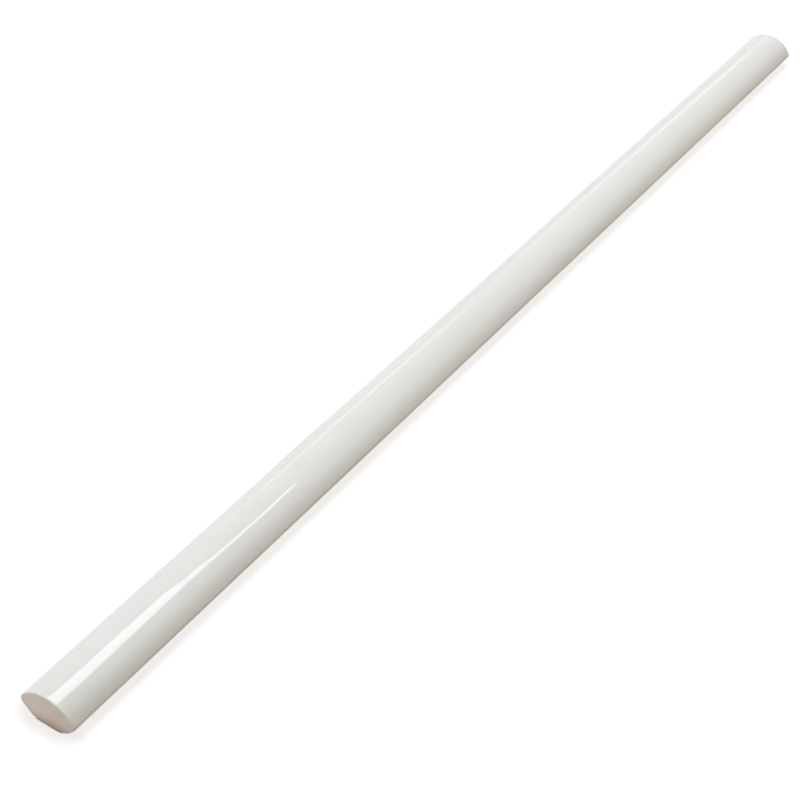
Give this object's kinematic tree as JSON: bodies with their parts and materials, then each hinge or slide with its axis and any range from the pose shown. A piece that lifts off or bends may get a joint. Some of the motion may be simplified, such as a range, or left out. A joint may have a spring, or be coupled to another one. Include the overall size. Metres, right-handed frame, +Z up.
{
  "type": "bullnose trim tile",
  "caption": "Slim glazed ceramic bullnose tile with a rounded top and a flat back, for finishing the edge of a tiled wall.",
  "frame": {"origin": "on the flat back, under the middle of the tile", "axes": "+X along the tile, +Z up from the flat back to the rounded top, Y across"},
  "size_m": [0.3, 0.012, 0.0068],
  "materials": {
    "glazed_body": "gloss"
  },
  "bodies": {
    "root": {"bullnose_tile": "glazed_body"}
  },
  "joints": []
}
